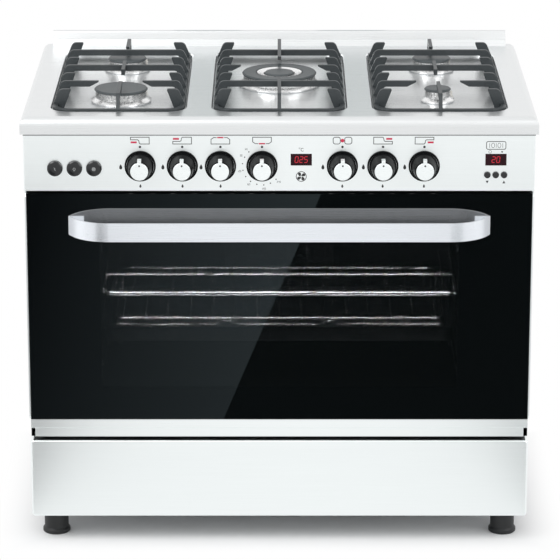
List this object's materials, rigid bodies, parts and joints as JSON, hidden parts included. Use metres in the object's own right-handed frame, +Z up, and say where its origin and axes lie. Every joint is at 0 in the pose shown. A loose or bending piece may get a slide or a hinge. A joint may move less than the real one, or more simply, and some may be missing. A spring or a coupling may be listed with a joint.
{
  "type": "gas cooker",
  "caption": "Free-standing stainless gas cooker with sunk hob burners under cast-iron pan supports, knob panel, drop-down glass oven door, bow handle and storage drawer.",
  "frame": {"origin": "on the floor under the middle of the cooker's overall box", "axes": "+X to the right of someone facing the cooker, +Y to the wall behind it, +Z up"},
  "size_m": [0.91, 0.674, 0.829],
  "materials": {
    "stainless": "fine horizontal brushing, satin",
    "hob_steel": "pressed stainless, satin",
    "carcass_paint": "silver-grey powder coat",
    "galvanised": "zinc-coated sheet",
    "foot_plastic": "black moulded plastic",
    "burner_aluminium": "cast and turned",
    "cap_enamel": "matt black enamel",
    "ceramic": "glazed white ceramic",
    "cast_iron": "matt enamelled cast iron",
    "oven_enamel": "speckled dark vitreous enamel",
    "seal_rubber": "black silicone",
    "burner_steel": "heat-resisting steel",
    "lamp_glass": "clear pressed glass",
    "chrome_wire": "chrome-plated wire",
    "door_glass": "black-tinted reflective glass",
    "clear_glass": "clear toughened glass",
    "dark_chrome": "black-chrome plating",
    "black_plastic": "gloss black",
    "display_red": "dark red filter window",
    "tap_brass": "machined brass"
  },
  "bodies": {
    "carcass": {"control_panel": "stainless", "hob_top": "hob_steel", "rear_upstand": "hob_steel", "side_panels": "carcass_paint", "back_panel": "galvanised", "base_tray": "galvanised", "drawer_runners": "galvanised", "fan_motor": "galvanised", "gas_rail": "galvanised", "gas_inlet": "galvanised", "door_hinges": "galvanised", "burner_cups": "galvanised", "feet": "foot_plastic", "flame_spreaders": "burner_aluminium", "burner_caps": "cap_enamel", "spark_electrodes": "ceramic", "oven_liner": "oven_enamel", "oven_floor": "oven_enamel", "grill_pan": "oven_enamel", "fan_cover": "oven_enamel", "door_seal": "seal_rubber", "oven_burner": "burner_steel", "grill_burner": "burner_steel", "oven_lamp": "lamp_glass", "rack_rails": "chrome_wire", "oven_shelf": "chrome_wire", "grill_pan_rack": "chrome_wire", "knob_bezels": "dark_chrome", "switch_blocks": "black_plastic", "display_modules": "black_plastic", "spark_generator": "black_plastic", "display_windows": "display_red", "gas_taps": "tap_brass"},
    "oven_door": {"door_glass_outer": "door_glass", "door_frame": "oven_enamel", "door_glass_inner": "clear_glass", "door_trim": "stainless", "door_handle": "stainless", "hinge_arms": "galvanised"},
    "storage_drawer": {"drawer_front": "stainless", "drawer_box": "galvanised"},
    "oven_fan": {"fan_wheel": "burner_steel"},
    "support_left": {"pan_support_left": "cast_iron"},
    "support_centre": {"pan_support_centre": "cast_iron"},
    "support_right": {"pan_support_right": "cast_iron"},
    "control_left_front": {"knob_left_front": "dark_chrome"},
    "control_left_rear": {"knob_left_rear": "dark_chrome"},
    "control_grill": {"knob_grill": "dark_chrome"},
    "control_oven": {"knob_oven": "dark_chrome"},
    "control_centre": {"knob_centre": "dark_chrome"},
    "control_right_rear": {"knob_right_rear": "dark_chrome"},
    "control_right_front": {"knob_right_front": "dark_chrome"},
    "push_ignition": {"button_ignition": "black_plastic"},
    "push_lamp": {"button_lamp": "black_plastic"},
    "push_fan": {"button_fan": "black_plastic"},
    "push_timer_down": {"timer_button_down": "black_plastic"},
    "push_timer_set": {"timer_button_set": "black_plastic"},
    "push_timer_up": {"timer_button_up": "black_plastic"}
  },
  "joints": [
    {"name": "door_hinge", "type": "hinge", "parent": "carcass", "child": "oven_door", "pos_m": [0, -0.273, 0.222], "axis": [1, 0, 0], "range_deg": [0, 90]},
    {"name": "drawer_slide", "type": "slide", "parent": "carcass", "child": "storage_drawer", "axis": [0, -1, 0], "range_m": [0, 0.3]},
    {"name": "fan_spin", "type": "hinge", "parent": "carcass", "child": "oven_fan", "pos_m": [0, 0.175, 0.436], "axis": [0, 1, 0], "continuous": true},
    {"name": "support_left_lift", "type": "slide", "parent": "carcass", "child": "support_left", "axis": [0, 0, 1], "range_m": [0, 0.15]},
    {"name": "support_centre_lift", "type": "slide", "parent": "carcass", "child": "support_centre", "axis": [0, 0, 1], "range_m": [0, 0.15]},
    {"name": "support_right_lift", "type": "slide", "parent": "carcass", "child": "support_right", "axis": [0, 0, 1], "range_m": [0, 0.15]},
    {"name": "control_left_front_turn", "type": "hinge", "parent": "carcass", "child": "control_left_front", "pos_m": [-0.24471, -0.3, 0.712], "axis": [0, -1, 0], "range_deg": [0, 180]},
    {"name": "control_left_rear_turn", "type": "hinge", "parent": "carcass", "child": "control_left_rear", "pos_m": [-0.17051, -0.3, 0.712], "axis": [0, -1, 0], "range_deg": [0, 180]},
    {"name": "control_grill_turn", "type": "hinge", "parent": "carcass", "child": "control_grill", "pos_m": [-0.10341, -0.3, 0.712], "axis": [0, -1, 0], "range_deg": [0, 180]},
    {"name": "control_oven_turn", "type": "hinge", "parent": "carcass", "child": "control_oven", "pos_m": [-0.03042, -0.3, 0.712], "axis": [0, -1, 0], "range_deg": [0, 240]},
    {"name": "control_centre_turn", "type": "hinge", "parent": "carcass", "child": "control_centre", "pos_m": [0.11088, -0.3, 0.712], "axis": [0, -1, 0], "range_deg": [0, 180]},
    {"name": "control_right_rear_turn", "type": "hinge", "parent": "carcass", "child": "control_right_rear", "pos_m": [0.18198, -0.3, 0.712], "axis": [0, -1, 0], "range_deg": [0, 180]},
    {"name": "control_right_front_turn", "type": "hinge", "parent": "carcass", "child": "control_right_front", "pos_m": [0.2547, -0.3, 0.712], "axis": [0, -1, 0], "range_deg": [0, 180]},
    {"name": "push_ignition_press", "type": "slide", "parent": "carcass", "child": "push_ignition", "axis": [0, 1, 0], "range_m": [0, 0.003], "stiffness_N_per_m": 400},
    {"name": "push_lamp_press", "type": "slide", "parent": "carcass", "child": "push_lamp", "axis": [0, 1, 0], "range_m": [0, 0.003], "stiffness_N_per_m": 400},
    {"name": "push_fan_press", "type": "slide", "parent": "carcass", "child": "push_fan", "axis": [0, 1, 0], "range_m": [0, 0.003], "stiffness_N_per_m": 400},
    {"name": "push_timer_down_press", "type": "slide", "parent": "carcass", "child": "push_timer_down", "axis": [0, 1, 0], "range_m": [0, 0.0015], "stiffness_N_per_m": 400},
    {"name": "push_timer_set_press", "type": "slide", "parent": "carcass", "child": "push_timer_set", "axis": [0, 1, 0], "range_m": [0, 0.0015], "stiffness_N_per_m": 400},
    {"name": "push_timer_up_press", "type": "slide", "parent": "carcass", "child": "push_timer_up", "axis": [0, 1, 0], "range_m": [0, 0.0015], "stiffness_N_per_m": 400}
  ]
}
